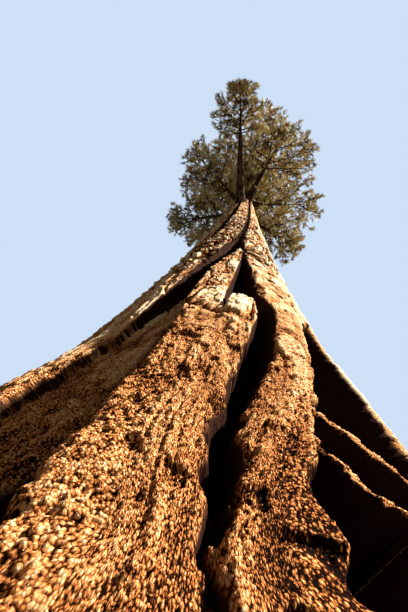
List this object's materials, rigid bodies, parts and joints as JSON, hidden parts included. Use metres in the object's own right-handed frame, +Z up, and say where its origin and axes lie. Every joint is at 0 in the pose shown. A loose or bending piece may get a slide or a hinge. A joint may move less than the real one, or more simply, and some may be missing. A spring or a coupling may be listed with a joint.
{
  "type": "giant sequoia tree",
  "caption": "Whole giant sequoia with a fluted, flared trunk, tapering boughs and a high rounded crown of dense needle foliage.",
  "frame": {"origin": "middle of the flat cut under the trunk, at ground level", "axes": "+Z up the trunk; the face in the picture looks along -Y; +X to the right of that face"},
  "size_m": [8.7629, 9.3772, 39.9183],
  "materials": {
    "bark": "deeply furrowed fibrous cinnamon bark, matte",
    "bough_bark": "scaly brown bark, matte",
    "foliage": "dull olive-green sprays of needles"
  },
  "bodies": {
    "root": {"bough_01": "bough_bark", "bough_02": "bough_bark", "bough_03": "bough_bark", "bough_04": "bough_bark", "bough_05": "bough_bark", "bough_06": "bough_bark", "bough_07": "bough_bark", "bough_08": "bough_bark", "bough_09": "bough_bark", "bough_10": "bough_bark", "bough_11": "bough_bark", "bough_12": "bough_bark", "bough_13": "bough_bark", "bough_14": "bough_bark", "bough_15": "bough_bark", "bough_16": "bough_bark", "bough_17": "bough_bark", "bough_18": "bough_bark", "bough_19": "bough_bark", "bough_20": "bough_bark", "foliage_01": "foliage", "foliage_02": "foliage", "foliage_03": "foliage", "foliage_04": "foliage", "foliage_05": "foliage", "foliage_06": "foliage", "foliage_07": "foliage", "foliage_08": "foliage", "foliage_09": "foliage", "foliage_10": "foliage", "foliage_11": "foliage", "foliage_12": "foliage", "foliage_13": "foliage", "foliage_14": "foliage", "foliage_15": "foliage", "foliage_16": "foliage", "foliage_17": "foliage", "foliage_18": "foliage", "foliage_19": "foliage", "foliage_20": "foliage", "foliage_inner_high": "foliage", "foliage_inner_low": "foliage", "foliage_leader_back": "foliage", "foliage_leader_front": "foliage", "foliage_leader_left": "foliage", "foliage_leader_upper": "foliage", "foliage_top": "foliage", "trunk": "bark"}
  },
  "joints": []
}
